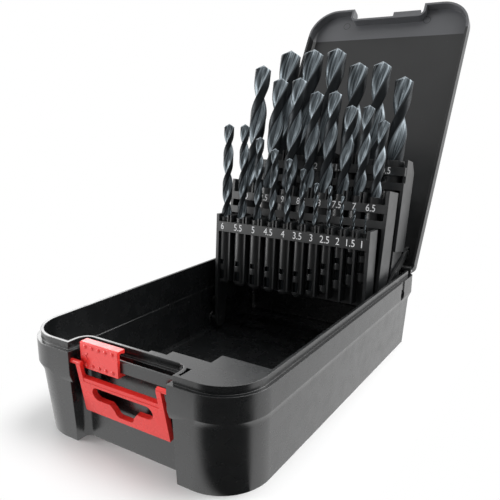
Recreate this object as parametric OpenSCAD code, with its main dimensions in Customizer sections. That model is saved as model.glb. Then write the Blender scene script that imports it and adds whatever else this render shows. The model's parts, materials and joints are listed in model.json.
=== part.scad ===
// Folding case for a set of 25 twist drills, shown open.
// Opening the lid swings three racks of drills up on their pivots; a sliding latch
// holds the lid shut, and a fold-out hanger carries the case on a display hook.
// Origin: centre of the underside. +X right, +Y to the hinge side, +Z up. Millimetres.

/* [Case] */
// Width of the case over its upper band
case_w = 115; // [112:0.5:130]
// Depth of the case, front to back
case_d = 188; // [186:0.5:200]
// Height of the base up to the ledge that the lid rests on
base_h = 41.7; // [41:0.1:46]
// Thickness of the floor
floor_t = 2.2; // [1.8:0.1:2.2]
// Thickness of the walls below the band
wall_t = 2.0; // [1.6:0.1:2.2]
// Thickness of the walls in the upper band
band_wall = 3.0; // [2.8:0.1:3.2]
// Height where the upper band starts
band_z = 31.5; // [30:0.5:34]
// Height of the chamfer under the band
band_chamfer = 3.5; // [2:0.5:5]
// How far the walls under the band stand back from it
band_step = 1.3; // [0.8:0.1:1.5]
// Draft: how much further the walls stand back at the foot
draft = 1.6; // [1:0.1:1.8]
// Radius of the two front corners
corner_r = 20; // [18:0.5:23]
// Radius of the two back corners
back_r = 4; // [3.5:0.5:6]

/* [Lip and shelf] */
// Height of the lip above the ledge
lip_h = 3.3; // [2.5:0.1:3.5]
// Thickness of the lip
lip_t = 1.3; // [1:0.1:1.3]
// Width of the ledge outside the lip
ledge_w = 1.7; // [1.6:0.05:1.8]
// Thickness of the corner shelf
shelf_t = 1.5; // [1:0.1:2]
// Steps along the shelf's inner edge: how far right of the middle each one starts
shelf_x = [6.5, 14.2, 32.6]; // [5:0.1:36]
// Steps along the shelf's inner edge: how far each one reaches behind the recess
shelf_y = [4.7, 8.4, 15.9]; // [4:0.1:18]

/* [Front recess] */
// Half the width of the recess that holds latch and hanger
recess_half = 25.5; // [25:0.1:27]
// Depth of the recess
recess_d = 9.3; // [9.2:0.1:10]
// Radius of the recess's inner corners
recess_r = 3; // [1:0.5:4]
// How much wider the recess is on each side under the band
finger_w = 1.4; // [1:0.1:3]

/* [Lid] */
// Height of the lid
lid_h = 9; // [8.8:0.1:12]
// Thickness of the lid's walls
lid_wall = 1.5; // [1.2:0.1:1.6]
// Thickness of the lid's top
lid_top_t = 1.8; // [1.4:0.1:2]
// Gap between lid and ledge
lid_gap = 0.3; // [0.3:0.05:0.5]
// Angle that the lid opens to
lid_open = 120; // [100:1:120]
// Width of the sloped zone along the lid's front
slope_d = 21; // [14:1:24]
// Fall of the sloped zone
slope_h = 1.8; // [1:0.1:2.2]

/* [Lid hinge] */
// Distance of the hinge axis from the back of the case
hinge_in = 1; // [0.8:0.1:1.2]
// Height of the hinge axis above the ledge
hinge_up = 2.3; // [2.2:0.1:2.5]
// Radius of the hinge knuckles
knuckle_r = 2.1; // [1.8:0.1:2.1]
// Radius of the steel hinge pins
hinge_pin_r = 1.0; // [0.8:0.1:1.1]
// Distances of the ends of the base's knuckles from the side of the case
base_knuckle_in = [21.5, 7.5]; // [7:0.5:23]
// Distances of the ends of the lid's knuckles from the side of the case
lid_knuckle_in = [39.5, 1.5]; // [1.5:0.5:41]
// Gap between neighbouring knuckles
knuckle_gap = 0.3; // [0.2:0.05:0.5]
// Radial clearance of every running pin
pin_gap = 0.08; // [0.05:0.01:0.1]

/* [Racks] */
// How far the sides of the front, middle and back rack lie inside the link bars
rack_inset = [2.5, 0.4, -0.7]; // [-0.7:0.1:3]
// Thicknesses of the three racks
rack_t = [10.8, 14.6, 16.4]; // [10:0.1:16.5]
// Backward lean of the three racks when up
rack_lean = [3.5, 11, 11.5]; // [2:0.5:12]
// Distances of the three rack pivots from the back of the case
rack_pivot_in = [51.4, 38, 20.2]; // [18:0.1:54]
// Heights of the three rack pivots
rack_pivot_z = [8.2, 22, 34]; // [8:0.1:35]
// Offset of each rack's middle plane behind its pivot
rack_off = [0, -0.6, 3.4]; // [-1:0.1:4]
// Height of the deepest drill seat above each pivot
rack_seat = [26.9, 10, -8.8]; // [-10:0.1:27]
// Height of the label strip's top above each pivot
rack_top = [62.8, 64.4, 71.5]; // [60:0.1:73]
// Depth of the grooves in the side walls above the back rack's pivots
pivot_groove = 0.5; // [0.3:0.1:0.8]
// How deep the back rack's pivots end inside their holes
pivot_end = 1.4; // [0.7:0.1:1.5]
// Height of each label strip
strip_h = [6, 4.8, 4.8]; // [4:0.1:6]
// Height of the slots under the middle and back label strip
band_h = 4; // [3:0.1:5]
// How far the decks stand proud of the sides
deck_proud = 0.3; // [0.1:0.1:0.3]
// Height of the fins between the drills
fin_h = [4, 6.1, 6.5]; // [3:0.1:7]
// Height of the side walls' tops above the label strip
side_top = [4.2, 7.6, 4.5]; // [3:0.1:8]
// How much the pitch in each rack grows with drill diameter
row_spread = [1, 1.3, 1]; // [0.9:0.01:1.3]
// Distance of each rack's largest drill from the rack's left side
row_left = [3.5, 9.1, 17.1]; // [3:0.1:18]
// Distance of each rack's smallest drill from the rack's right side
row_right = [5.1, 10.465, 9.9]; // [4:0.1:12]
// Radial clearance of a drill in its hole
drill_gap = 0.15; // [0.1:0.05:0.25]

/* [Links] */
// Distance of the link pins from the rack pivots
link_r = 12; // [11.6:0.1:12.2]
// Half the width of a link bar
link_half = 2.6; // [2.2:0.1:2.7]
// Thickness of a link bar
link_t = 1.4; // [1.2:0.1:1.5]
// Distance of the link bars' inner faces from the side of the case
link_in = 6.7; // [6.5:0.05:6.8]
// Radius of the link pins
link_pin_r = 1.3; // [1:0.1:1.4]
// Distance of the lid's link pin from the hinge axis
lid_crank = 10.3; // [10.2:0.1:10.4]
// Lead of the lid's link pin when the lid is shut
lid_lead = 9.5; // [8.5:0.5:10]

/* [Latch] */
// Width of the sliding latch
slide_w = 20.6; // [18:0.2:22]
// Height of the sliding latch
slide_h = 11; // [10.8:0.1:11.4]
// Distance of the latch's face behind the front of the case
slide_in = 3.5; // [3.4:0.1:3.6]
// Gap from the latch to the recess wall when open
slide_start = 3.3; // [1:0.1:4]
// Gap from the latch to the recess wall when shut
slide_stop = 1.5; // [1.5:0.1:3]
// Thickness of the latch's face
slide_wall = 1.3; // [1:0.1:1.4]
// Running gap of the latch on its rail
slide_gap = 0.15; // [0.1:0.01:0.2]
// Radius of the grip dimples
dimple_r = 0.75; // [0.5:0.05:0.9]
// Height of the rail that the latch runs on
rail_h = 4.9; // [4:0.1:5.2]
// Thickness of the rail
rail_t = 1.8; // [1.5:0.1:1.9]

/* [Hanger] */
// Half the width of the hanger
hanger_half = 22.2; // [21.5:0.1:22.6]
// Thickness of the hanger
hanger_t = 2.4; // [2:0.1:2.4]
// Length of the hanger from its pivot to its lower edge
hanger_l = 22.8; // [22.6:0.1:23]
// Backward lean of the hanger at rest
hanger_lean = 11; // [9:0.5:11]
// How far the hanger's pivot lies below the ledge
hanger_down = 4.1; // [3.7:0.1:4.5]
// Distance of the hanger's pivot behind the front of the case
hanger_in = 1.8; // [1.6:0.1:1.8]
// Radius of the hanger's pivot stubs
hanger_pin_r = 1.0; // [0.8:0.1:1]
// Width of the display slot
slot_w = 32; // [30:0.5:33]
// Height of the display slot's ends
slot_h = 6.2; // [5.5:0.1:6.6]
// Depth of the rounded bulge under the slot
bulge_h = 5; // [4:0.1:5.2]

/* [Hidden] */
$fn = 48;
corner_fn = 96;
eps = 0.05;

front_y = -case_d / 2;
back_y = case_d / 2;
half_w = case_w / 2;
chamfer_z = band_z - band_chamfer;
lip_z = base_h + lip_h;
hinge_y = back_y - hinge_in;
hinge_z = base_h + hinge_up;
lid_z = base_h + lid_gap;
lid_top = lid_z + lid_h;
pivot_y = [for (y = rack_pivot_in) back_y - y];
hanger_z = base_h - hanger_down;
link_x = half_w - link_in;
rack_half = [for (g = rack_inset) link_x - g];
base_knuckle = [for (k = base_knuckle_in) half_w - k];
lid_knuckle = [for (k = lid_knuckle_in) half_w - k];
foot_r = corner_r + 1;
through = 200;
swing = [for (a = rack_lean) 90 + a];
lip_back_y = back_y - 7;
socket_x = link_x + link_t + 0.4;

// Half width of the outside and of the inside of the walls under the band, at height z
function outer_half(z) = half_w - band_step - draft * (1 - z / chamfer_z);
function inner_half(z) = outer_half(z) - wall_t;

// Middle of drill i in a row of sizes d: the webs share out what the drills leave of the rack
function row_web(d, r) = let (n = len(d)) (2 * rack_half[r] - row_left[r] - row_right[r]
    - row_spread[r] * (d[0] + d[n - 1]) * (n - 1) / 2) / (n - 1);
function row_x(d, r, i) = i == 0 ? row_left[r] - rack_half[r]
    : row_x(d, r, i - 1) + row_web(d, r) + row_spread[r] * (d[i - 1] + d[i]) / 2;

// Overall and flute lengths of jobber drills, by diameter in half millimetres
drill_len = [0, 0, 34, 40, 49, 57, 61, 70, 75, 80, 86, 93, 93, 101, 109, 109, 117, 117, 125, 125,
             133, 133, 142, 142, 151, 151, 151];
flute_len = [0, 0, 12, 18, 24, 30, 33, 39, 43, 47, 52, 57, 57, 63, 69, 69, 75, 75, 81, 81,
             87, 87, 94, 94, 101, 101, 101];
// Short drills sit higher, so that their points stand clear of the rack
function lift(d) = max(0, 6 * (3.3 - d));
function seat(r, d) = rack_seat[r] + lift(d);
function tube_r(r, d) = r == 0 ? 2.3 + 0.3 * d : d / 2 + drill_gap + 1;

// Drill diameters held by the front, middle and back rack, largest first
sizes = [[for (d = [6:-0.5:1]) d], [for (d = [10:-0.5:6.5]) d], [for (d = [13:-0.5:10.5]) d]];
function size_name(d) = str("drill_", floor(d), d == floor(d) ? "" : "_5", "_mm");

black = [0.09, 0.09, 0.1];
grey_black = [0.16, 0.16, 0.17];
red = [0.85, 0.1, 0.1];
steel = [0.7, 0.7, 0.72];
blued = [0.2, 0.23, 0.27];

// ---- Outlines ----

// The case seen from above, drawn in by sides, front and back, with its own corner radii
module plan(side, front, back, rf, rb) {
    w = half_w - side;
    y0 = front_y + front;
    y1 = back_y - back;
    translate([-w, y0 + rf]) square([2 * w, y1 - rb - y0 - rf]);
    translate([-w + rf, y0]) square([2 * (w - rf), 2 * rf]);
    translate([-w + rb, y1 - 2 * rb]) square([2 * (w - rb), 2 * rb]);
    for (s = [-1, 1]) {
        translate([s * (w - rf), y0 + rf]) circle(r = rf, $fn = corner_fn);
        translate([s * (w - rb), y1 - rb]) circle(r = rb);
    }
}

// The recess in the front, grown by g, with rounded inner corners
module recess(g, half = recess_half, depth = recess_d) {
    r = recess_r + g;
    d = depth + g;
    h = half + g;
    translate([-h, front_y - 5]) square([2 * h, 5 + d - r]);
    translate([-h + r, front_y - 5]) square([2 * (h - r), 5 + d]);
    for (s = [-1, 1]) translate([s * (h - r), front_y + d - r]) circle(r = r);
}

// Outline of the base drawn in by i all round, recess included
module rim(i) {
    difference() {
        plan(i, i, i, corner_r - i, max(0.5, back_r - i));
        recess(i);
    }
}

module slab(z0, z1) {
    translate([0, 0, z0]) linear_extrude(z1 - z0) children();
}

// A bar along X from x0 to x1
module rod(x0, x1, r, y = 0, z = 0) {
    translate([x0, y, z]) rotate([0, 90, 0]) cylinder(r = r, h = x1 - x0);
}

// A side profile drawn in Y and Z, pulled along X from x0 to x1
module across(x0, x1) {
    translate([x0, 0, 0]) rotate([90, 0, 90]) linear_extrude(x1 - x0) children();
}

// ---- Base ----

module base_outside() {
    hull() {
        slab(0, eps) plan(band_step + draft, band_step + draft, 2.2, foot_r, back_r);
        slab(chamfer_z - eps, chamfer_z) plan(band_step, band_step, band_step, corner_r, back_r);
    }
    hull() {
        slab(chamfer_z - eps, chamfer_z) plan(band_step, band_step, band_step, corner_r, back_r);
        slab(band_z, band_z + eps) plan(0, 0, 0, corner_r, back_r);
    }
    slab(band_z, base_h) plan(0, 0, 0, corner_r, back_r);
}

// Room inside, before the recess's own walls are put back
module base_inside() {
    i0 = band_step + draft + wall_t;
    i1 = band_step + wall_t;
    hull() {
        slab(floor_t, floor_t + eps)
            plan(i0 + 1, i0 + 1, i0, foot_r - wall_t - 1, back_r - 1);
        slab(floor_t + 1.5, floor_t + 1.5 + eps)
            plan(i0, i0, i0 - 0.5, foot_r - wall_t, back_r - 1);
        slab(chamfer_z, band_z) plan(i1, i1, band_wall, corner_r - wall_t, back_r - 2);
    }
    slab(chamfer_z, lip_z + 1) plan(band_wall, band_wall, band_wall, corner_r - band_wall, 1);
}

// Lip inside the ledge, left out along the hinge
module lip() {
    difference() {
        slab(base_h - 1, lip_z) difference() {
            rim(ledge_w);
            rim(ledge_w + lip_t);
        }
        translate([-half_w, lip_back_y, base_h]) cube([case_w, 20, 20]);
    }
}

// Flat shelf at lip level in the front right corner
module shelf() {
    a = front_y + recess_d;
    slab(lip_z - shelf_t, lip_z) intersection() {
        rim(ledge_w + lip_t / 2);
        polygon([for (k = [0:2]) each [[shelf_x[k], k == 0 ? a : a + shelf_y[k - 1]],
                                       [shelf_x[k], a + shelf_y[k]]],
                 [half_w, a + shelf_y[2]], [half_w, front_y], [recess_half + 4.5, front_y],
                 [recess_half + 4.5, a]]);
    }
}

// Rail in the recess that the latch slides on, grooved behind
module rail() {
    y0 = front_y + slide_in + slide_wall + slide_gap;
    z1 = base_h + 0.1;
    z0 = z1 - rail_h;
    groove = 0.6;
    difference() {
        across(-recess_half - 1, recess_half + 1) polygon([[y0, z0], [y0 + rail_t, z0],
            [y0 + rail_t, z1 - 0.5], [y0 + rail_t - 0.5, z1], [y0 + 0.5, z1], [y0, z1 - 0.5]]);
        across(-recess_half, recess_half) polygon([[y0 + rail_t - groove, z0 + 2],
            [y0 + rail_t + 1, z0 + 2], [y0 + rail_t + 1, z0 + 3.4],
            [y0 + rail_t - groove, z0 + 3.4]]);
    }
}

// Blind sockets inside the side walls for the front and middle rack
module sockets(hole) {
    for (s = [0, 1]) mirror([s, 0, 0]) for (r = [0, 1]) {
        z = rack_pivot_z[r];
        x0 = socket_x;
        x1 = outer_half(z) - wall_t / 2;
        if (hole) rod(x0 - 1, x1 - 0.3, pivot_r(r) + pin_gap, pivot_y[r], z);
        else rod(x0, x1, pivot_r(r) + 2, pivot_y[r], z);
    }
}
function pivot_r(r) = r == 2 ? 2.95 : 2;

module base_knuckles() {
    for (s = [0, 1]) mirror([s, 0, 0]) difference() {
        union() {
            rod(base_knuckle[0], base_knuckle[1], knuckle_r, hinge_y, hinge_z);
            translate([base_knuckle[0], hinge_y - knuckle_r + 0.2, base_h - 1])
                cube([base_knuckle[1] - base_knuckle[0], knuckle_r + hinge_in - 0.2,
                      hinge_up + 1]);
        }
        rod(base_knuckle[0] - 1, base_knuckle[1] + 1, hinge_pin_r, hinge_y, hinge_z);
    }
}

module base() {
    color(black) {
        difference() {
            union() {
                difference() {
                    union() {
                        base_outside();
                        lip();
                    }
                    difference() {
                        base_inside();
                        slab(0, base_h) recess(wall_t);
                        slab(base_h - 1, lip_z + 2) recess(ledge_w + lip_t);
                        slab(0, chamfer_z) recess(wall_t, recess_half + finger_w);
                    }
                }
                shelf();
                sockets(false);
            }
            slab(-1, lip_z + 2) recess(0);
            slab(-1, chamfer_z) recess(0, recess_half + finger_w);
            slab(base_h, lip_z + 2) recess(ledge_w);
            sockets(true);
            for (s = [0, 1]) mirror([s, 0, 0]) {
                rod(half_w - 6, half_w + 1, pivot_r(2) + pin_gap, pivot_y[2], rack_pivot_z[2]);
                translate([half_w - pivot_groove, pivot_y[2] - 2.4, rack_pivot_z[2]])
                    cube([2, 4.8, base_h]);
                rod(recess_half - 1, recess_half + 2, hanger_pin_r + pin_gap,
                    front_y + hanger_in, hanger_z);
            }
        }
        rail();
        base_knuckles();
    }
}

// ---- Lid, drawn shut and then swung open ----

module open_lid() {
    translate([0, hinge_y, hinge_z]) rotate([-lid_open, 0, 0])
        translate([0, -hinge_y, -hinge_z]) children();
}

module lid_outside(i, top) {
    slab(lid_z - (i > 0 ? 1 : 0), lid_top - 3) plan(i, i, i, corner_r - i, max(1, back_r - i));
    hull() {
        slab(lid_top - 3, lid_top - 3 + eps)
            plan(i, i, i, corner_r - i, max(1, back_r - i), $fn = 32);
        slab(top - eps, top)
            plan(i + 2, i + 2, i + 2, corner_r - i - 2, max(1, back_r - i - 2), $fn = 32);
    }
}

// Wedge along the front by which the top slopes down
module lid_slope(drop) {
    y0 = front_y - 1;
    across(-half_w - 1, half_w + 1) polygon([[y0, lid_top - slope_h - drop],
        [y0, lid_top + 5], [front_y + slope_d, lid_top + 5],
        [front_y + slope_d, lid_top - drop]]);
}

module lid_lugs() {
    // Ears inside the lid, with the pins that drive the link bars
    t = 1.4;
    ly = hinge_y - lid_crank * cos(lid_lead);
    lz = hinge_z - lid_crank * sin(lid_lead);
    r = link_pin_r + 0.9;
    for (s = [0, 1]) mirror([s, 0, 0]) {
        across(link_x - 0.4 - t, link_x - 0.4) polygon([[ly - r, lz], [ly + r, lz],
            [ly + r + 2, lid_top - lid_top_t + 0.6], [ly - r - 2, lid_top - lid_top_t + 0.6]]);
        rod(link_x - 0.4 - t, link_x - 0.4, r, ly, lz);
        rod(link_x - 0.5, link_x + link_t + 0.1, link_pin_r, ly, lz);
    }
}

module lid() {
    wall_y = recess_d - 1;
    color(black) open_lid() difference() {
        union() {
            difference() {
                difference() {
                    lid_outside(0, lid_top);
                    lid_slope(0);
                    slab(lid_z - 2, lid_top + 1) recess(0, recess_half, wall_y);
                }
                difference() {
                    lid_outside(lid_wall, lid_top - lid_top_t);
                    lid_slope(lid_top_t);
                    slab(lid_z - 2, lid_top + 1)
                        recess(lid_wall, recess_half, wall_y);
                }
                // Back wall kept short, so that it clears the ledge as it swings
                translate([-half_w - 1, hinge_y - 3, lid_z - 1])
                    cube([case_w + 2, 10, 1.5]);
            }
            // Catch that the latch slides over
            translate([recess_half - slide_stop - slide_w + 1.2,
                       front_y + slide_in + slide_wall + 0.3, base_h + 0.4])
                cube([slide_w - 1.6, wall_y - slide_in - slide_wall, 1.6]);
            for (s = [0, 1]) mirror([s, 0, 0]) {
                rod(lid_knuckle[0], base_knuckle[0] - knuckle_gap, knuckle_r, hinge_y, hinge_z);
                rod(base_knuckle[1] + knuckle_gap, lid_knuckle[1], knuckle_r, hinge_y, hinge_z);
            }
            lid_lugs();
        }
        for (s = [0, 1]) mirror([s, 0, 0]) {
            rod(base_knuckle[0] - knuckle_gap, base_knuckle[1] + knuckle_gap,
                knuckle_r + 0.7, hinge_y, hinge_z);
            rod(lid_knuckle[0] + 0.5, lid_knuckle[1] + 0.3, hinge_pin_r + pin_gap,
                hinge_y, hinge_z);
        }
    }
}

module hinge_pin() {
    color(steel) rod(lid_knuckle[0] + 0.7, lid_knuckle[1] + 0.2, hinge_pin_r, hinge_y, hinge_z);
}

module hinge_pin_left() {
    mirror([1, 0, 0]) hinge_pin();
}

module hinge_pin_right() {
    hinge_pin();
}

// ---- Racks, drawn about their pivot with +Z along the drills ----

module stand(r) {
    translate([0, pivot_y[r], rack_pivot_z[r]]) rotate([-rack_lean[r], 0, 0]) children();
}

function band_top(r) = rack_top[r] - strip_h[r];
function band_foot(r) = r == 0 ? band_top(r) : band_top(r) - band_h;
function deck_foot(r) = r == 0 ? band_top(r) : band_foot(r) - 4.2;
function drill_x(r) = [for (i = [0:len(sizes[r]) - 1]) row_x(sizes[r], r, i)];

// One deck across the rack, standing proud of the side walls in front
module deck(r, z0, z1) {
    half = rack_half[r] - 0.2;
    translate([-half, rack_off[r] - rack_t[r] / 2 - deck_proud, z0])
        cube([2 * half, rack_t[r] - 1.2 + deck_proud, z1 - z0]);
}

module rack(r) {
    d = sizes[r];
    t = rack_t[r];
    off = rack_off[r];
    top = rack_top[r];
    foot = rack_seat[r] - 2;
    n = len(d);
    x = drill_x(r);
    color(grey_black) stand(r) difference() {
        union() {
            // Upper deck with the label strip on its face, and the lower deck
            deck(r, band_top(r), top);
            if (r > 0) deck(r, deck_foot(r), band_foot(r));
            // Tubes that hold the shanks
            for (i = [0:n - 1]) {
                tr = tube_r(r, d[i]);
                b = seat(r, d[i]) - 1.2;
                translate([x[i], off, b]) cylinder(r = tr, h = deck_foot(r) + 0.5 - b);
                translate([x[i], off, b - 1.6]) cylinder(r1 = tr - 1.6, r2 = tr, h = 1.6);
            }
            // Web through the tubes and ribs between them
            translate([1 - web_half(r), off + t / 4 - 0.6, foot])
                cube([2 * web_half(r) - 2, 1.2, deck_foot(r) + 1 - foot]);
            for (i = [0:n - 2])
                translate([(x[i] + x[i + 1]) / 2 - 0.5, off - t / 2 + 0.8, foot + 2])
                    cube([1, 0.8 * t - 0.8, deck_foot(r) - foot]);
            // Pairs of fins between neighbouring drills
            for (i = [0:n - 2]) for (s = [-1, 1])
                translate([(x[i] + x[i + 1]) / 2 + 1.05 * s - 0.45, off - t / 2, top - 0.5])
                    cube([0.9, t - 1.2, fin_h[r] + 0.5]);
            // Side walls with their arms and pins
            for (s = [0, 1]) mirror([s, 0, 0]) {
                rack_side(r);
                rod(web_half(r) - 2, pivot_reach(r), pivot_neck(r));
                if (r == 2) rod(socket_x + 0.2, pivot_reach(r), pivot_r(r));
                rod(rack_half[r] - side_step(r) - 1, link_x + link_t + 0.1, link_pin_r, 0,
                    link_r);
            }
        }
        for (i = [0:n - 1]) {
            translate([x[i], off, seat(r, d[i])])
                cylinder(r = d[i] / 2 + drill_gap, h = through);
            // Inspection windows in the tube's front
            if (r == 0) {
                w = min(17, 8.5 * max(0, 3.3 - d[i]));
                translate([x[i] - 1.7, off - 8, rack_seat[r] + w]) cube([3.4, 8, 6]);
                translate([x[i] - 1.5, off - 8, rack_seat[r] + w + 9.4]) cube([3, 8, 3]);
            }
        }
    }
}

// The back rack steps in towards its foot, to make room for the link bars and the lid's ears
function side_step(r) = r == 2 ? 1.1 : 0;
function web_half(r) = rack_half[r] - (r == 2 ? 3 : 0);
function pivot_neck(r) = r == 2 ? 1.8 : pivot_r(r);
function pivot_reach(r) = r == 2 ? half_w - pivot_end : outer_half(rack_pivot_z[r]) - wall_t / 2 - 0.4;

// One side wall, with the arm that reaches down to the pivot
module rack_side(r) {
    t = rack_t[r];
    off = rack_off[r];
    half = rack_half[r];
    top = rack_top[r] + side_top[r];
    y0 = off - t / 2;
    y1 = off + t / 2;
    w = 1.8;
    if (r < 2) {
        arm = pivot_r(r) + 2;
        neck = r == 0 ? 22 : 10;
        across(half - w, half) polygon([[y0, neck], [-arm, 0], [arm, 0], [y1, neck],
            [y1, top], [y0, top]]);
        rod(half - w, half, arm);
    } else {
        step = 2.2;
        across(half - w, half) polygon([[y0, 24], [y1, 24], [y1, top - 6],
            [y1 - 5, top], [y0 + step, top], [y0 + step, band_foot(r)], [y0, band_foot(r)]]);
        across(half - w - 1.1, half - 1.1) polygon([[y0, 5], [y1, 5], [y1, 25], [y0, 25]]);
        across(half - w - 3, half - 3) polygon([[y0, foot_z(r)], [y1, foot_z(r)], [y1, 6],
            [y0, 6]]);
        translate([half - w - 3, y0, 5]) cube([w + 1.9, t, 1.6]);
    }
}
function foot_z(r) = rack_seat[r] - 2;

module rack_front() {
    rack(0);
}

module rack_middle() {
    rack(1);
}

module rack_back() {
    rack(2);
}

// ---- Link bars: one bar on each side ties the three racks to the lid ----

// Where a pin of rack r stands from its pivot when the racks have turned by share q of their swing
function crank(r, q) = let (a = swing[r] * q) [-link_r * cos(a), link_r * sin(a)];
// Pin of rack r in the bar's own frame, which rides on the back rack's pin
function pin_at(r, q) = [pivot_y[r], rack_pivot_z[r]] + crank(r, q) - crank(2, q) + crank(2, 1);
function lid_pin_at(q) = let (a = lid_open * q - lid_lead)
    [hinge_y, hinge_z] + lid_crank * [-cos(a), sin(a)] - crank(2, q) + crank(2, 1);

// Two equal discs joined by their tangents
module stadium(p, q, r) {
    u = (q - p) / norm(q - p);
    n = [-u[1], u[0]] * r;
    translate(p) circle(r = r);
    translate(q) circle(r = r);
    polygon([p - n, q - n, q + n, p + n]);
}

module link_bar() {
    dip = [0, -0.2];
    front_0 = pin_at(0, 0) + dip;
    front_1 = pin_at(0, 1) + dip;
    middle = (pin_at(1, 0) + pin_at(1, 1)) / 2;
    back = pin_at(2, 1);
    lid_pin = (lid_pin_at(0) + lid_pin_at(0.5) + lid_pin_at(1)) / 3;
    color(black) across(link_x, link_x + link_t) difference() {
        union() {
            stadium(front_0, front_1, link_half);
            stadium(front_0, middle, link_half);
            stadium(middle, back, link_half);
            stadium(back, lid_pin, link_half - 0.6);
            translate(lid_pin) circle(r = link_half + 0.2);
        }
        // Snug on the back rack's pin; the other pins have play for the racks' unlike swings
        translate(back) circle(r = link_pin_r + pin_gap);
        translate(middle) circle(r = link_pin_r + 0.35);
        stadium(front_0, front_1, link_pin_r + 0.6);
        translate(lid_pin) circle(r = link_pin_r + 0.7);
    }
}

module link_bar_left() {
    mirror([1, 0, 0]) link_bar();
}

module link_bar_right() {
    link_bar();
}

// ---- Latch ----

module slide_latch() {
    y0 = front_y + slide_in;
    yi = y0 + slide_wall;
    back = yi + slide_gap + rail_t;
    z1 = base_h + 4.3;
    z0 = z1 - slide_h;
    rail_z1 = base_h + 0.1;
    rail_z0 = rail_z1 - rail_h;
    x0 = -recess_half + slide_start;
    hook = back + 0.15;
    color(red) {
        across(x0, x0 + slide_w) polygon([[y0, z0], [hook + 1.1, z0],
            [hook + 1.1, rail_z0 + 3.9], [hook, rail_z0 + 3.9], [hook, rail_z0 + 3.3],
            [hook - 0.65, rail_z0 + 3.3], [hook - 0.65, rail_z0 + 2.15],
            [hook, rail_z0 + 2.15], [hook, rail_z0 - slide_gap], [yi, rail_z0 - slide_gap],
            [yi, z1 - 1.3], [back - 0.2, z1 - 1.3], [back - 0.2, z1 - 1.6],
            [back + 0.8, z1 - 1.6], [back + 0.8, z1], [y0 + 0.5, z1], [y0, z1 - 0.5]]);
        // Two rows of five grip dimples
        for (i = [0:4]) for (k = [0, 1])
            translate([x0 + slide_w * (0.14 + 0.18 * i), y0, z0 + slide_h * (0.14 + 0.7 * k)])
                rotate([90, 0, 0]) cylinder(r1 = dimple_r, r2 = dimple_r - 0.3, h = 0.3);
        // Arrow that points the way to open
        translate([x0 + 3.2, y0 + 0.1, z0 + slide_h / 2]) rotate([90, 0, 0])
            linear_extrude(0.35) polygon([[-1.2, 0], [0.9, 1.5], [0.9, 0.8], [-0.1, 0],
                [0.9, -0.8], [0.9, -1.5]]);
    }
}

// ---- Hanger, drawn hanging from its pivot and then leant back ----

module hanger() {
    h = hanger_half;
    t = hanger_t;
    arm = 2.4;
    bridge = 6.2;
    slot_z = -12.4;
    color(red) translate([0, front_y + hanger_in, hanger_z]) rotate([hanger_lean, 0, 0]) {
        difference() {
            translate([0, t / 2, 0]) rotate([90, 0, 0]) linear_extrude(t) difference() {
                polygon([[-h - 0.3, -hanger_l], [h + 0.3, -hanger_l], [h, 0], [-h, 0]]);
                // Opening between the arms
                translate([-h + arm, -bridge]) square([2 * (h - arm), bridge + 5]);
                // Display slot with its bulge
                translate([0, slot_z]) display_slot();
            }
            // Step along the top of the plate, and relief behind the arms for the latch
            translate([-h + arm, -t, -bridge - 1.8]) cube([2 * (h - arm), t / 2 + 0.2, 3]);
            translate([-h - 1, 0.5, -bridge + 0.2]) cube([2 * h + 2, t, bridge + 3]);
        }
        for (s = [0, 1]) mirror([s, 0, 0]) {
            rod(h - arm, h, 1);
            rod(h - 1, recess_half + 1.3, hanger_pin_r);
        }
    }
}

module display_slot() {
    r = slot_h / 2;
    square([slot_w - slot_h, slot_h], center = true);
    for (s = [-1, 1]) translate([s * (slot_w / 2 - r), 0]) circle(r = r);
    polygon([[-7.5, -r + 0.5], [7.5, -r + 0.5], [6.6, -r - 0.6], [5, -r - bulge_h + 2.4],
        [-5, -r - bulge_h + 2.4], [-6.6, -r - 0.6]]);
    for (s = [-1, 1]) translate([s * 2.5, -r - bulge_h + 2.5]) circle(r = 2.5);
    translate([-2.5, -r - bulge_h]) square([5, 3]);
}

// ---- Drills ----

// Turn of the flutes where the ground point starts, so that the lands stand broad to the front
tip_turn = 30;
// Radii round a drill of diameter 1, every 30 degrees: plain shank, and lands with their gullets
round_shank = [for (k = [0:11]) 0.5];
fluted = [0.5, 0.5, 0.5, 0.23, 0.13, 0.24, 0.5, 0.5, 0.5, 0.23, 0.13, 0.24];

// One closed skin over rings of points, each ring given as height, turn, size and radii
module skin(rings) {
    m = 12;
    top = len(rings) - 1;
    polyhedron(
        points = [for (g = rings) for (k = [0:m - 1])
            let (a = 30 * k - 15 + g[1], q = g[2] * g[3][k]) [q * cos(a), q * sin(a), g[0]]],
        faces = concat([[for (i = [0:m - 1]) i]], [[for (i = [m - 1:-1:0]) top * m + i]],
            [for (k = [0:top - 1]) for (i = [0:m - 1])
                [k * m + i, k * m + m + i, k * m + (i + 1) % m]],
            [for (k = [0:top - 1]) for (i = [0:m - 1])
                [k * m + m + i, k * m + m + (i + 1) % m, k * m + (i + 1) % m]]));
}

// Shank, flutes that run out into it, and the ground point
module drill(r, i) {
    d = sizes[r][i];
    k = round(2 * d);
    total = drill_len[k];
    shank = total - flute_len[k];
    point = 0.3 * d;
    start = shank + 0.6 * d;
    h = total - point - start;
    turn = 360 * h / (5.9 * d);
    n = max(8, round(turn / 36));
    a = tip_turn - turn;
    color(blued) stand(r) translate([row_x(sizes[r], r, i), rack_off[r], seat(r, d)])
        skin(concat([[0, a, d, round_shank], [shank, a, d, round_shank]],
            [for (q = [0:n]) [start + h * q / n, a + turn * q / n, d, fluted]],
            [[total, tip_turn + 5, 0.12 * d, fluted]]));
}

base();
lid();
hinge_pin_left();
hinge_pin_right();
slide_latch();
hanger();
rack_front();
rack_middle();
rack_back();
link_bar_left();
link_bar_right();
for (r = [0:2]) for (i = [0:len(sizes[r]) - 1])
    drill(r, i);
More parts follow.
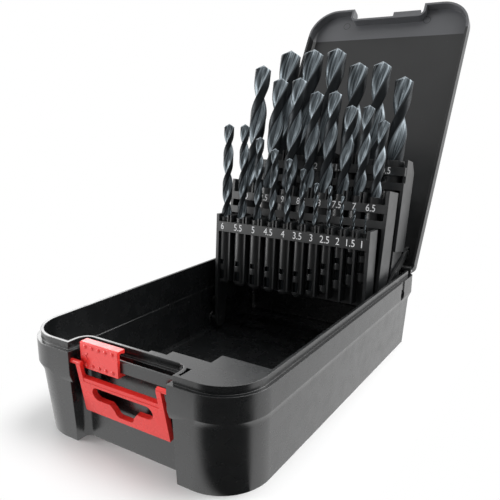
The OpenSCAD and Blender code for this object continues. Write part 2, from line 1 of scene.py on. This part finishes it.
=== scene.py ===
"""Looks of the open drill bit case: satin black case, red latch and hanger, blued twist drills.

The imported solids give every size. Here their copies are smoothed and given moulded-plastic and
blued-steel finishes, the drills get true helical flutes, and the racks get their printed sizes.
Lengths are millimetres until MM turns them into metres; +X right, +Y to the hinge, +Z up.
"""

import json
import math

import bmesh
import bpy
import numpy as np
from mathutils import Matrix, Vector


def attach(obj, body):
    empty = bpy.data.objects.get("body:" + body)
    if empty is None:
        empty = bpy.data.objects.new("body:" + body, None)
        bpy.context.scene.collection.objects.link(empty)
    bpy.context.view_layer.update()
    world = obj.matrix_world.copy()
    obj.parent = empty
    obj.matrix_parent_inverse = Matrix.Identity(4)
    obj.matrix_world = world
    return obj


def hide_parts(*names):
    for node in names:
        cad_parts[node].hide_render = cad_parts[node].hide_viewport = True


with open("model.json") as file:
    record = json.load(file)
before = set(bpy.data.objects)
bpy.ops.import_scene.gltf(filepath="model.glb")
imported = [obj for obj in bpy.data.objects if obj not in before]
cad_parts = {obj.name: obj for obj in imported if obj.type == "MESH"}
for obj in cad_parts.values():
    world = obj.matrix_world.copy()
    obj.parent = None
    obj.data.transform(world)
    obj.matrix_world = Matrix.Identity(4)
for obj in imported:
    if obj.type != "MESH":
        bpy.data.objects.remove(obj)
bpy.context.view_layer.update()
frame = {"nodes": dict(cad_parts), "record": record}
MM = 0.001
body_of = {n: b for b, ns in frame["record"]["behaviour"]["bodies"].items() for n in ns}

# ---- Sizes shared with the solids, in millimetres, rack by rack from the front ----

CASE_FRONT_Y = -94.0
SIZES = [
    [6, 5.5, 5, 4.5, 4, 3.5, 3, 2.5, 2, 1.5, 1],
    [10, 9.5, 9, 8.5, 8, 7.5, 7, 6.5],
    [13, 12.5, 12, 11.5, 11, 10.5],
]
RACKS = ["rack_front", "rack_middle", "rack_back"]
PIVOT_Y = [42.6, 56.0, 73.8]
PIVOT_Z = [8.2, 22.0, 34.0]
LEAN = [3.5, 11.0, 11.5]
THICK = [10.8, 14.6, 16.4]
OFFSET = [0.0, -0.6, 3.4]
SEAT = [26.9, 10.0, -8.8]
STRIP_TOP = [62.8, 64.4, 71.5]
STRIP_H = [6.0, 4.8, 4.8]
STRIP_PROUD = 0.3
BAND_H = 4.0
FIN_H = [4.0, 6.1, 6.5]
ROW_WEB = [5.3, 0.88, 3.45]
ROW_SPREAD = [1.0, 1.3, 1.0]
ROW_START = [44.8, 41.3, 34.4]
THIN_DRILL, THIN_RISE = 3.3, 6
# overall and flute length of a jobber drill for each diameter
JOBBER = {
    1: (34, 12), 1.5: (40, 18), 2: (49, 24), 2.5: (57, 30), 3: (61, 33), 3.5: (70, 39),
    4: (75, 43), 4.5: (80, 47), 5: (86, 52), 5.5: (93, 57), 6: (93, 57), 6.5: (101, 63),
    7: (109, 69), 7.5: (109, 69), 8: (117, 75), 8.5: (117, 75), 9: (125, 81), 9.5: (125, 81),
    10: (133, 87), 10.5: (133, 87), 11: (142, 94), 11.5: (142, 94), 12: (151, 101),
    12.5: (151, 101), 13: (151, 101),
}  # fmt: skip


def drill_x(rack):
    """Middles of a rack's drills: each pitch is the web plus the spread times the mean diameter."""
    x, d = [-ROW_START[rack]], SIZES[rack]
    for a, b in zip(d, d[1:]):
        x.append(x[-1] + ROW_WEB[rack] + ROW_SPREAD[rack] * (a + b) / 2)
    return x


def seat(rack, d):
    """Height of a drill's seat over the pivot; thin drills stand higher, the more the thinner."""
    return SEAT[rack] + max(0.0, THIN_RISE * (THIN_DRILL - d))


def stand(rack, p):
    """Points of a rack lying about its pivot, leant back and set on the pivot, in metres."""
    a = math.radians(LEAN[rack])
    x, y, z = np.asarray(p, float).T
    back = y * math.cos(a) + z * math.sin(a) + PIVOT_Y[rack]
    up = -y * math.sin(a) + z * math.cos(a) + PIVOT_Z[rack]
    return np.stack([x, back, up], -1) * MM


# ---- Objects and nodes ----


def put(name, data):
    """A new object in the scene, at the origin."""
    piece = bpy.data.objects.new(name, data)
    bpy.context.scene.collection.objects.link(piece)
    return piece


def shell(name, points, faces, material, crisp=None):
    """A piece made of points in metres and faces; flat, or smooth but for edges past an angle."""
    mesh = bpy.data.meshes.new(name)
    mesh.from_pydata(points.tolist(), [], faces)
    mesh.materials.append(material)
    if crisp is not None:
        mesh.shade_smooth()
        mesh.set_sharp_from_angle(angle=math.radians(crisp))
    return put(name, mesh)


def feed(tree, value, socket):
    """Give a socket a number, vector or colour, or link it to another node's output."""
    if isinstance(value, bpy.types.NodeSocket):
        tree.links.new(value, socket)
    elif socket.type == "RGBA":
        socket.default_value = (*value, 1)
    else:
        socket.default_value = value


def combine(tree, kind, operation, *values):
    """What a Math or VectorMath node makes of numbers, vectors or other nodes' outputs."""
    n = tree.nodes.new("ShaderNode" + kind)
    n.operation = operation
    for socket, value in zip(n.inputs, values):
        feed(tree, value, socket)
    number = kind == "Math" or operation in ("DOT_PRODUCT", "LENGTH", "DISTANCE")
    return n.outputs["Value" if number else "Vector"]


def spread(tree, value, a, b, low, high, smooth=False):
    """A value's span from a to b laid over low to high, straight, or easing in and out."""
    m = tree.nodes.new("ShaderNodeMapRange")
    if smooth:
        m.interpolation_type = "SMOOTHSTEP"
    for name, v in zip(("From Min", "From Max", "To Min", "To Max"), (a, b, low, high)):
        m.inputs[name].default_value = v
    tree.links.new(value, m.inputs["Value"])
    return m.outputs["Result"]


def mixed(tree, a, b, share):
    """A colour that goes from a to b, colours or outputs, as the share goes from 0 to 1."""
    mix = tree.nodes.new("ShaderNodeMix")
    mix.data_type = "RGBA"
    feed(tree, a, mix.inputs["A"])
    feed(tree, b, mix.inputs["B"])
    feed(tree, share, mix.inputs["Factor"])
    return mix.outputs["Result"]


# ---- Finishes ----

SOFT_CORNER_SAMPLES = 6


class Finish:
    """A material's node graph: a Principled shader with patterns on Object coordinates.

    The colour and roughness given at first are those of a viewer that doesn't read the patterns.
    """

    def __init__(self, name, colour, rough, metal=0.0):
        self.mat = bpy.data.materials.new(name)
        self.mat.use_nodes = True
        self.tree = self.mat.node_tree
        self.shader = self.tree.nodes["Principled BSDF"]
        self.shader.inputs["Base Color"].default_value = (*colour, 1)
        self.shader.inputs["Roughness"].default_value = rough
        self.shader.inputs["Metallic"].default_value = metal
        self.at = self.tree.nodes.new("ShaderNodeTexCoord").outputs["Object"]
        self.normal = None

    def own(self, attribute, output="Vector"):
        """Values carried by the piece's own points instead of its object coordinates."""
        a = self.tree.nodes.new("ShaderNodeAttribute")
        a.attribute_name = attribute
        return a.outputs[output]

    def noise(self, size_mm, detail=2.0, stretch=(1, 1, 1), at=None):
        """A cloud pattern whose lumps are about size_mm across."""
        turn = self.tree.nodes.new("ShaderNodeMapping")
        turn.inputs["Scale"].default_value = [s / (size_mm * MM) for s in stretch]
        self.tree.links.new(at or self.at, turn.inputs["Vector"])
        n = self.tree.nodes.new("ShaderNodeTexNoise")
        n.inputs["Scale"].default_value = 1.0
        n.inputs["Detail"].default_value = detail
        self.tree.links.new(turn.outputs["Vector"], n.inputs["Vector"])
        return n.outputs["Fac"]

    def ramp(self, value, low, high, a=0.3, b=0.7):
        """A pattern's values from a to b spread over low to high."""
        return spread(self.tree, value, a, b, low, high)

    def tint(self, value, dark, light):
        """Colour that drifts between dark and light with a pattern."""
        self.colour(mixed(self.tree, dark, light, value))

    def cover(self, colour, mask):
        """Another colour wherever the mask is 1, in place of the colour so far."""
        so_far = self.shader.inputs["Base Color"].links[0].from_socket
        self.colour(mixed(self.tree, so_far, colour, mask))

    def colour(self, value):
        self.tree.links.new(value, self.shader.inputs["Base Color"])

    def specks(self, apart_mm, size_mm, grey):
        """A few specks of dust, wherever a scattered point lies within size_mm of the surface."""
        v = self.tree.nodes.new("ShaderNodeTexVoronoi")
        v.inputs["Scale"].default_value = 1 / (apart_mm * MM)
        self.tree.links.new(self.at, v.inputs["Vector"])
        far = size_mm / apart_mm
        self.cover((grey, grey, grey), self.ramp(v.outputs["Distance"], 1, 0, far / 2, far))

    def rough(self, value):
        self.tree.links.new(value, self.shader.inputs["Roughness"])

    def sheen_level(self, level):
        """Strength of the mirror-like part; 0.5 is that of common plastic, 1 twice that."""
        self.shader.inputs["Specular IOR Level"].default_value = level

    def over(self, place, way, low_mm, high_mm):
        """0 to 1 as a point's distance past a place, along a direction, goes from low to high."""
        off = combine(self.tree, "VectorMath", "SUBTRACT", self.at, [c * MM for c in place])
        along = combine(self.tree, "VectorMath", "DOT_PRODUCT", off, way)
        return self.ramp(along, 0, 1, low_mm * MM, high_mm * MM)

    def ring(self, place, radius_mm, half_line_mm):
        """1 on a thin circle about a place, 0 elsewhere."""
        far = combine(self.tree, "VectorMath", "DISTANCE", self.at, [c * MM for c in place])
        return combine(self.tree, "Math", "COMPARE", far, radius_mm * MM, half_line_mm * MM)

    def round_edges(self, radius_mm):
        """Softened moulded edges."""
        bevel = self.tree.nodes.new("ShaderNodeBevel")
        bevel.samples = SOFT_CORNER_SAMPLES
        bevel.inputs["Radius"].default_value = radius_mm * MM
        self.face(bevel)

    def bump(self, value, depth_mm):
        """Relief of the given depth on top of whatever relief is there."""
        b = self.tree.nodes.new("ShaderNodeBump")
        b.inputs["Distance"].default_value = depth_mm * MM
        b.inputs["Strength"].default_value = 1.0
        self.tree.links.new(value, b.inputs["Height"])
        if self.normal:
            self.tree.links.new(self.normal, b.inputs["Normal"])
        self.face(b)

    def face(self, n):
        self.normal = n.outputs["Normal"]
        self.tree.links.new(self.normal, self.shader.inputs["Normal"])


# lump size in mm, detail, and depth in mm: spark-eroded grain, fine ripple, and slow sinking
MOULD_RELIEF = [(0.2, 2, 0.002), (0.9, 2, 0.009), (11, 1, 0.015)]
TONE_DRIFT_MM, GLOSS_DRIFT_MM = 18, 7
GLOSS_DRIFT = (-0.04, 0.05)
DUST_APART_MM, DUST_MM = 4.5, 0.2


def moulded(name, dark, light, rough, edge=0.25, dust=0.0, gloss=0.5, extra=None):
    """Injection-moulded plastic: slow drift of tone and gloss, spark-eroded grain, soft edges."""
    f = Finish(name, dark, rough)
    f.round_edges(edge)
    f.sheen_level(gloss)
    f.tint(f.ramp(f.noise(TONE_DRIFT_MM, 3), 0, 1), dark, light)
    if extra:
        extra(f)
    if dust:
        f.specks(DUST_APART_MM, DUST_MM, dust)
    f.rough(f.ramp(f.noise(GLOSS_DRIFT_MM, 4), *(rough + g for g in GLOSS_DRIFT)))
    for size, detail, depth in MOULD_RELIEF:
        f.bump(f.noise(size, detail), depth)
    return f.mat


# the open lid's directions up its inner face and out of it, and a point of its fold
LID_UP = (0.0, 0.5, 0.866)
LID_FACE = (0.0, -0.866, 0.5)
LID_FOLD = (0.0, 180.5, 185.2)
# painted sheen: a paler colour standing in for the light that the sloped zone past the fold catches
PAINTED_SLOPE_SHEEN = (0.078, 0.080, 0.086)
EJECTOR_MARKS = [(27.3, 185.7, 196.1), (-31.6, 185.5, 195.7)]
EJECTOR_R, EJECTOR_HALF_LINE = 2.4, 0.22
EJECTOR_GREY = (0.022, 0.022, 0.024)


def lid_painted_sheen_and_ejector_marks(f):
    """Painted sheen: a paler colour standing in for the light on the sloped zone past the fold
    inside the lid, and the round ejector-pin marks.
    """
    # mask of the painted sheen: up the lid past the fold, on its inner face
    past = f.over(LID_FOLD, LID_UP, 0.0, 0.25)
    inside = f.over(LID_FOLD, LID_FACE, -1.0, -0.5)
    f.cover(PAINTED_SLOPE_SHEEN, combine(f.tree, "Math", "MULTIPLY", past, inside))
    for mark in EJECTOR_MARKS:
        f.cover(EJECTOR_GREY, f.ring(mark, EJECTOR_R, EJECTOR_HALF_LINE))


COLD_BLACK = (0.0048, 0.0053, 0.0057), (0.0073, 0.0080, 0.0085)
SOFT_BLACK = (0.0092, 0.0101, 0.0108), (0.0145, 0.0157, 0.0166)
LATCH_RED = (0.74, 0.030, 0.026), (0.82, 0.040, 0.034)
HANGER_RED = (0.66, 0.020, 0.016), (0.74, 0.027, 0.022)
case_black = moulded("case_black", *COLD_BLACK, 0.26, edge=0.35, dust=0.12, gloss=1.0)
lid_black = moulded("lid_black", *COLD_BLACK, 0.34, dust=0.08, gloss=0.53, extra=lid_painted_sheen_and_ejector_marks)
rack_black = moulded("rack_black", *SOFT_BLACK, 0.34, edge=0.15, gloss=0.9)
link_black = moulded("link_black", *COLD_BLACK, 0.5, gloss=0.2)
latch_red = moulded("latch_red", *LATCH_RED, 0.28, edge=0.3, gloss=0.9)
hanger_red = moulded("hanger_red", *HANGER_RED, 0.28, edge=0.25)


def blued():
    """Oxide-blued high-speed steel: dark lands, paler flutes with grinding lines along them."""
    f = Finish("blued_steel", (0.09, 0.1, 0.108), 0.3, metal=0.7)
    lines = f.noise(0.8, 4, stretch=(1, 1, 0.035), at=f.own("unwound"))
    f.tint(f.ramp(lines, 0, 1, 0.38, 0.62), (0.04, 0.05, 0.057), (0.3, 0.345, 0.375))
    f.cover((0.017, 0.02, 0.0225), f.ramp(f.own("flute", "Fac"), 1, 0, 0.03, 0.1))
    f.rough(f.ramp(f.noise(1.6, 3), 0.4, 0.54))
    f.bump(lines, 0.045)
    f.bump(f.noise(2.5, 3), 0.01)
    return f.mat


def pin_metal():
    """Bright drawn steel wire, with lines along its length."""
    f = Finish("pin_steel", (0.55, 0.55, 0.57), 0.28, metal=1.0)
    f.tint(f.ramp(f.noise(1.2, 3), 0, 1), (0.42, 0.42, 0.44), (0.62, 0.62, 0.64))
    f.bump(f.noise(0.3, 2, stretch=(0.1, 3, 3)), 0.004)
    return f.mat


def print_white():
    """Pad-printed white ink, a little thin in places."""
    f = Finish("printed_white", (0.78, 0.79, 0.8), 0.5)
    f.tint(f.ramp(f.noise(0.35, 3), 0, 1), (0.62, 0.63, 0.64), (0.82, 0.83, 0.84))
    f.bump(f.noise(0.2, 2), 0.004)
    return f.mat


blued_steel, pin_steel, printed_white = blued(), pin_metal(), print_white()

# ---- Dressed copies of the moulded solids ----

MERGE = 2e-6
FLAT_TURN, FOLD_TURN, EDGE_TURN = 0.4, 1.5, 28
WIDE_FACE = 120 * MM * MM
FLAT_FACE_WEIGHT = 90


def dress(node, material):
    """A solid's copy with flat faces joined, smooth over its curves and crisp at edges and folds.

    An edge is crisp where its faces turn by more than EDGE_TURN degrees, and also where both faces
    are wide and turn by more than FOLD_TURN.
    """
    mesh = frame["nodes"][node].data.copy()
    mesh.name = node + "_skin"
    b = bmesh.new()
    b.from_mesh(mesh)
    bmesh.ops.remove_doubles(b, verts=b.verts, dist=MERGE)
    flat = math.radians(FLAT_TURN)
    bmesh.ops.dissolve_limit(b, angle_limit=flat, verts=b.verts, edges=b.edges)
    for e in b.edges:
        turn = math.degrees(e.calc_face_angle(0.0))
        wide = min((f.calc_area() for f in e.link_faces), default=0.0) > WIDE_FACE
        e.smooth = not (turn > EDGE_TURN or (wide and turn > FOLD_TURN))
    for f in b.faces:
        f.smooth = True
    b.to_mesh(mesh)
    b.free()
    mesh.materials.clear()
    mesh.materials.append(material)
    piece = put(node + "_skin", mesh)
    weigh = piece.modifiers.new("flat_faces_stay_flat", "WEIGHTED_NORMAL")
    weigh.keep_sharp = True
    weigh.weight = FLAT_FACE_WEIGHT
    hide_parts(node)
    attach(piece, body_of[node])


DRESS = {
    case_black: ["base"],
    lid_black: ["lid"],
    rack_black: RACKS,
    link_black: ["link_bar_left", "link_bar_right"],
    pin_steel: ["hinge_pin_left", "hinge_pin_right"],
    latch_red: ["slide_latch"],
    hanger_red: ["hanger"],
}
for material, nodes in DRESS.items():
    for solid in nodes:
        dress(solid, material)

# ---- Twist drills, with lengths in diameters unless they end in MM ----

# half a turn of the section: angle in degrees and radius, over the margin, the land and the flute
LAND_ANGLES = np.array([-15, -12, 0, 30, 45, 60, 75, 90, 105, 120, 135, 150, 160, 165])
LAND_RADII = np.array(
    [0.5, 0.5, 0.485, 0.485, 0.48, 0.36, 0.235, 0.165, 0.135, 0.155, 0.235, 0.37, 0.48, 0.5]
)
TIP_TURN = 30
LEAD = 5.9
RUNOUT = 0.6
POINT_HALF_ANGLE = 59
POINT = 0.3
POINT_ROWS_FROM = 0.32
CHISEL = 0.004
FOOT_MM, FOOT_CUT = 0.4, 0.06
POINT_PALE = 0.3
DRILL_CRISP = 38


def drill_surface(d, total, flute, around=72, rows=150, point_rows=12):
    """Grid of points over one twist drill, angle by height, and the same points unwound.

    Radius is the section's, turned right-handed by one turn in LEAD and blended into the round
    shank over RUNOUT by 3 s squared minus 2 s cubed. The 118 degree point caps it at the distance
    below the tip times tan 59 degrees. Unwound points have the section's turn undone.
    """
    shank, ground = total - flute, total - POINT_ROWS_FROM * d
    low = np.array([0, FOOT_MM, shank - 0.02 * d])
    high = np.linspace(shank, ground, rows)
    tip = total - (total - ground) * (1 - np.linspace(0, 1, point_rows)[1:] ** 0.8)
    z = np.concatenate([low, high, tip])[:, None]
    u = np.linspace(0, 360, around, endpoint=False)[None, :]
    turn = TIP_TURN + 360 * (z - total + POINT * d) / (LEAD * d)
    phase = (u - turn - LAND_ANGLES[0]) % 180 + LAND_ANGLES[0]
    section = np.interp(phase, LAND_ANGLES, LAND_RADII)
    blend = np.clip((z - shank) / (RUNOUT * d), 0, 1)
    blend = blend * blend * (3 - 2 * blend)
    r = d * (0.5 * (1 - blend) + section * blend)
    cone = (total - z) * math.tan(math.radians(POINT_HALF_ANGLE))
    r = np.minimum(r, np.maximum(cone, CHISEL * d))
    foot = np.clip(1 - (1 - z / FOOT_MM) * FOOT_CUT, 0, 1)
    a, b = np.radians(u + 0 * z), np.radians(u - turn)
    wound = np.stack([r * foot * np.cos(a), r * foot * np.sin(a), z + 0 * u], -1)
    return wound, np.stack([r * np.cos(b), r * np.sin(b), z + 0 * u], -1)


def skin(grid):
    """Points and quads over a grid that closes round its rows, with a cap at each end."""
    rows, around, _ = grid.shape
    k = np.arange(rows * around).reshape(rows, around)
    a, b = k[:-1], k[1:]
    quads = np.stack([a, np.roll(a, -1, 1), np.roll(b, -1, 1), b], -1).reshape(-1, 4)
    return grid.reshape(-1, 3), quads.tolist() + [k[0, ::-1].tolist(), k[-1].tolist()]


def drill(rack, d, x):
    """A drill standing in its hole, in place of its solid.

    Its points carry the unwound place, and the flute's depth in diameters for the finish.
    """
    total, flute = JOBBER[d]
    node = "drill_" + f"{d:g}".replace(".", "_") + "_mm"
    wound, unwound = drill_surface(d, total, flute)
    points, faces = skin(wound)
    points = stand(rack, points + [x, OFFSET[rack], seat(rack, d)])
    piece = shell(node + "_ground", points, faces, blued_steel, DRILL_CRISP)
    depth = 0.5 - np.hypot(unwound[..., 0], unwound[..., 1]) / d
    depth = np.where(unwound[..., 2] < total - POINT * d, depth, POINT_PALE)
    along = piece.data.attributes.new("unwound", "FLOAT_VECTOR", "POINT")
    along.data.foreach_set("vector", (unwound * MM).ravel())
    cut = piece.data.attributes.new("flute", "FLOAT", "POINT")
    cut.data.foreach_set("value", depth.ravel())
    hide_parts(node)
    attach(piece, RACKS[rack])


for rack in range(3):
    for d, x in zip(SIZES[rack], drill_x(rack)):
        drill(rack, d, x)

# ---- Printed sizes ----

PRINT_SIZE = [5.6, 5.4, 5.4]
PRINT_NARROW = 0.88
PRINT_HALF = 0.02
PRINT_SHIFT = [1.0, 0.9, -2.5]


def lettering(words, size_mm):
    """Thin glyph mesh of some words, centred on the origin, as points and faces."""
    curve = bpy.data.curves.new("print", "FONT")
    curve.body = words
    curve.size = size_mm
    curve.align_x, curve.align_y = "CENTER", "CENTER"
    curve.extrude = PRINT_HALF
    curve.resolution_u = 6
    holder = put("print", curve)
    view = bpy.context.evaluated_depsgraph_get()
    mesh = bpy.data.meshes.new_from_object(holder.evaluated_get(view))
    points = np.zeros(len(mesh.vertices) * 3)
    mesh.vertices.foreach_get("co", points)
    faces = [list(p.vertices) for p in mesh.polygons]
    bpy.data.objects.remove(holder)
    bpy.data.meshes.remove(mesh)
    return points.reshape(-1, 3), faces


def printed_sizes(rack):
    """All the numbers of one label strip as one print, twice PRINT_HALF proud of the strip."""
    face_y = OFFSET[rack] - THICK[rack] / 2 - STRIP_PROUD - PRINT_HALF
    row_z = STRIP_TOP[rack] - STRIP_H[rack] / 2
    points, faces, count = [], [], 0
    for x, d in zip(drill_x(rack), SIZES[rack]):
        p, f = lettering(f"{d:g}", PRINT_SIZE[rack])
        across = p[:, 0] * PRINT_NARROW + x + PRINT_SHIFT[rack]
        points.append(stand(rack, np.stack([across, face_y - p[:, 2], row_z + p[:, 1]], -1)))
        faces += [[v + count for v in g] for g in f]
        count += len(p)
    piece = shell(RACKS[rack] + "_sizes", np.concatenate(points), faces, printed_white)
    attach(piece, RACKS[rack])


for rack in range(3):
    printed_sizes(rack)

# ---- Rings and tube fronts above and between the racks' bands ----

HOLE_PLAY = 0.15
LEAST_WALL = 0.1
SUNK = 0.3
SLEEVE_CRISP = 30
COLLAR_WALL, COLLAR_SHORT, COLLAR_SHARE = 0.8, 0.6, 0.62
TUBE_WALL, TUBE_SHORT = 1.2, 0.9


def sleeve(inner, outer, half, z0, z1, around=48):
    """Ring-shaped wall round a hole, revolved from its cross-section and cut flat at x = +-half."""
    a = np.linspace(0, 2 * math.pi, around, endpoint=False)[:, None]
    q = np.array([inner, outer, outer, inner])[None, :]
    z = np.array([z0, z0, z1, z1])[None, :] + 0 * a
    x = np.clip(q * np.cos(a), -half, half)
    return np.stack([x, q * np.sin(a), z], -1)


def sleeves(rack, name, wall, short, z0, z1):
    """One rack's row of sleeves, each kept short of the middle between it and the next drill."""
    x, points, faces = drill_x(rack), [], []
    for i, d in enumerate(SIZES[rack]):
        near = min(abs(x[i] - x[k]) / 2 for k in (i - 1, i + 1) if 0 <= k < len(x))
        inner = d / 2 + HOLE_PLAY
        half = max(near - short, inner + LEAST_WALL)
        grid = sleeve(inner, inner + wall, half, z0, z1)
        k = np.arange(grid.shape[0] * 4).reshape(-1, 4)
        ahead, side = np.roll(k, -1, 0), np.roll(k, -1, 1)
        quads = np.stack([k, ahead, np.roll(ahead, -1, 1), side], -1).reshape(-1, 4)
        faces += (quads + k.size * i).tolist()
        points.append(stand(rack, grid.reshape(-1, 3) + [x[i], OFFSET[rack], 0]))
    piece = shell(RACKS[rack] + name, np.concatenate(points), faces, rack_black, SLEEVE_CRISP)
    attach(piece, RACKS[rack])


for rack in range(3):
    top = STRIP_TOP[rack]
    rim = top + COLLAR_SHARE * FIN_H[rack]
    sleeves(rack, "_collars", COLLAR_WALL, COLLAR_SHORT, top - SUNK, rim)
for rack in (1, 2):
    foot = STRIP_TOP[rack] - STRIP_H[rack]
    sleeves(rack, "_tube_fronts", TUBE_WALL, TUBE_SHORT, foot - BAND_H - SUNK, foot + SUNK)

# ---- Grip domes on the latch, over the solid's own low bumps ----

LATCH_LEFT, LATCH_FOOT, LATCH_FACE = -22.2, 35.0, -90.5
LATCH_W, LATCH_H = 20.6, 11.0
DOME_R, DOME_H, DOME_SUNK = 0.92, 0.5, 0.1
DOME_COLUMNS = [0.14 + 0.18 * i for i in range(5)]
DOME_ROWS = [0.14, 0.84]


def grip_domes():
    """Domes whose height is DOME_H times 1 minus the fourth power of the share of DOME_R."""
    share = np.array([1.0, 0.96, 0.88, 0.76, 0.6, 0.4, 0.2, 0.02])[:, None]
    a = np.linspace(0, 2 * math.pi, 32, endpoint=False)[None, :]
    high = np.concatenate([[[-DOME_SUNK]], DOME_H * (1 - share[1:] ** 4)])
    p, f = skin(
        np.stack([DOME_R * share * np.cos(a), 0 * a - high, DOME_R * share * np.sin(a)], -1)
    )
    points, faces = [], []
    for row in DOME_ROWS:
        for column in DOME_COLUMNS:
            faces += [[v + len(points) * len(p) for v in g] for g in f]
            at = [LATCH_LEFT + LATCH_W * column, LATCH_FACE, LATCH_FOOT + LATCH_H * row]
            points.append((p + at) * MM)
    piece = shell("latch_grip_domes", np.concatenate(points), faces, latch_red, 180)
    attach(piece, "slide_latch")


grip_domes()

# ---- Floor, light and camera, in metres ----

# reflections find little light past these shares of the way to the unlit front right
DARK_SIDE = (0.5, -0.866, 0.0)
DARK_EDGE = (0.3, 0.62)
CORNER = (0.05, -0.08, 0.0)
FLOOR_KEEP, SKY_KEEP = 0.05, 0.15
FLOOR_HALF = 6.0
FOOTPRINT = (0.0555, 0.092, 0.0)
SHADOW_FADE = (0.0, 0.04)
FLOOR_TONES = (0.88, 0.88, 0.88), (0.9, 0.9, 0.9)
FLOOR_GRAIN = 40
SKY_DIFFUSE = 0.6


def dark_side(tree, way, keep):
    """Share of light that a reflection finds in a direction: 1, or keep on the dark side."""
    unit = combine(tree, "VectorMath", "NORMALIZE", way)
    toward = combine(tree, "VectorMath", "DOT_PRODUCT", unit, DARK_SIDE)
    return spread(tree, toward, *DARK_EDGE, 1.0, keep, smooth=True)


def floor_material():
    """Matt and pale by the case's foot, for its shadow, and plain white further out."""
    mat = bpy.data.materials.new("pale_floor")
    mat.use_nodes = True
    tree = mat.node_tree
    tree.nodes.remove(tree.nodes["Principled BSDF"])
    at = tree.nodes.new("ShaderNodeTexCoord").outputs["Object"]
    path = tree.nodes.new("ShaderNodeLightPath").outputs
    glossy = path["Is Glossy Ray"]

    past = combine(
        tree, "VectorMath", "SUBTRACT", combine(tree, "VectorMath", "ABSOLUTE", at), FOOTPRINT
    )
    clear = combine(tree, "VectorMath", "MAXIMUM", past, (0, 0, 0))
    far = combine(tree, "VectorMath", "LENGTH", clear)
    fade = spread(tree, far, *SHADOW_FADE, 0.0, 1.0, smooth=True)
    eye = combine(tree, "Math", "MULTIPLY", path["Is Camera Ray"], fade)

    grain = tree.nodes.new("ShaderNodeTexNoise")
    grain.inputs["Scale"].default_value = FLOOR_GRAIN
    tree.links.new(at, grain.inputs["Vector"])
    matt = tree.nodes.new("ShaderNodeBsdfDiffuse")
    tree.links.new(mixed(tree, *FLOOR_TONES, grain.outputs["Fac"]), matt.inputs["Color"])

    off_corner = combine(tree, "VectorMath", "SUBTRACT", at, CORNER)
    loss = combine(tree, "Math", "SUBTRACT", dark_side(tree, off_corner, FLOOR_KEEP), 1.0)
    loss = combine(tree, "Math", "MULTIPLY", loss, glossy)
    white = tree.nodes.new("ShaderNodeEmission")
    tree.links.new(combine(tree, "Math", "ADD", loss, 1.0), white.inputs["Strength"])

    mix = tree.nodes.new("ShaderNodeMixShader")
    tree.links.new(combine(tree, "Math", "MAXIMUM", eye, glossy), mix.inputs["Fac"])
    tree.links.new(matt.outputs[0], mix.inputs[1])
    tree.links.new(white.outputs[0], mix.inputs[2])
    tree.links.new(mix.outputs[0], tree.nodes["Material Output"].inputs["Surface"])
    return mat


def floor():
    """A wide flat floor."""
    s = FLOOR_HALF
    corners = np.array([(-s, -s, 0), (s, -s, 0), (s, s, 0), (-s, s, 0)])
    shell("floor", corners, [(0, 1, 2, 3)], floor_material())


def surroundings():
    """White all round for the eye, with a dark side for reflections, and plain soft light."""
    world = bpy.data.worlds.new("studio")
    bpy.context.scene.world = world
    world.use_nodes = True
    tree = world.node_tree
    sky = tree.nodes["Background"]
    sky.inputs["Color"].default_value = (1, 1, 1, 1)
    path = tree.nodes.new("ShaderNodeLightPath").outputs
    way = tree.nodes.new("ShaderNodeTexCoord").outputs["Generated"]
    lit = dark_side(tree, way, SKY_KEEP)
    shiny = combine(tree, "Math", "MULTIPLY", path["Is Glossy Ray"], lit)
    seen = combine(tree, "Math", "MAXIMUM", shiny, path["Is Camera Ray"])
    soft = combine(tree, "Math", "MULTIPLY", path["Is Diffuse Ray"], SKY_DIFFUSE)
    tree.links.new(combine(tree, "Math", "MAXIMUM", seen, soft), sky.inputs["Strength"])


# name, place, what it is aimed at, side, watts
SOFTBOXES = [
    ("overhead", (0.35, 0.25, 0.9), (0, 0, 0), 0.8, 7.5),
    ("left_front", (-0.85, -0.45, 0.22), (0, 0, 0.06), 0.5, 6),
    ("back_right", (0.75, 0.55, 0.4), (0, 0, 0.06), 0.5, 4),
    ("back_left", (-0.74, 0.38, 0.38), (0, -0.09, 0.046), 0.38, 1.8),
]


def softbox(name, at, aim, side, watts):
    """A square area lamp at a point, turned to another point."""
    light = bpy.data.lights.new(name, "AREA")
    light.size = side
    light.energy = watts
    lamp = put(name, light)
    lamp.location = at
    lamp.rotation_euler = (Vector(aim) - Vector(at)).to_track_quat("-Z", "Y").to_euler()


# the photograph's camera: degrees round from the front, up and rolled; millimetres; pixels
VIEW_AZIMUTH, VIEW_ELEVATION, VIEW_ROLL = 32.2, 13.92, 0.28
VIEW_AIM = [28.89, 50.23 + CASE_FRONT_Y, 80.95]
VIEW_DISTANCE = 234.46
VIEW_FOCAL, VIEW_FRAME = 576.09, 500
SENSOR_MM = 36


def camera():
    """The photograph's view: from the right of the front, a little above, close by."""
    az, el, roll = (math.radians(a) for a in (VIEW_AZIMUTH, VIEW_ELEVATION, VIEW_ROLL))
    back = np.array([math.sin(az) * math.cos(el), -math.cos(az) * math.cos(el), math.sin(el)])
    level = np.cross(-back, [0, 0, 1])
    level /= np.linalg.norm(level)
    upright = np.cross(level, -back)
    right = level * math.cos(roll) + upright * math.sin(roll)
    up = upright * math.cos(roll) - level * math.sin(roll)
    eye = (np.array(VIEW_AIM) + back * VIEW_DISTANCE) * MM
    lens = bpy.data.cameras.new("photo_view")
    lens.sensor_width = SENSOR_MM
    lens.lens = SENSOR_MM * VIEW_FOCAL / VIEW_FRAME
    lens.clip_start, lens.clip_end = 0.01, 50
    view = put("photo_view", lens)
    axes = np.vstack([np.stack([right, up, back, eye], 1), [0, 0, 0, 1]])
    view.matrix_world = Matrix(axes.tolist())
    bpy.context.scene.camera = view


floor()
surroundings()
for box in SOFTBOXES:
    softbox(*box)
camera()
bpy.context.scene.view_settings.view_transform = "Standard"
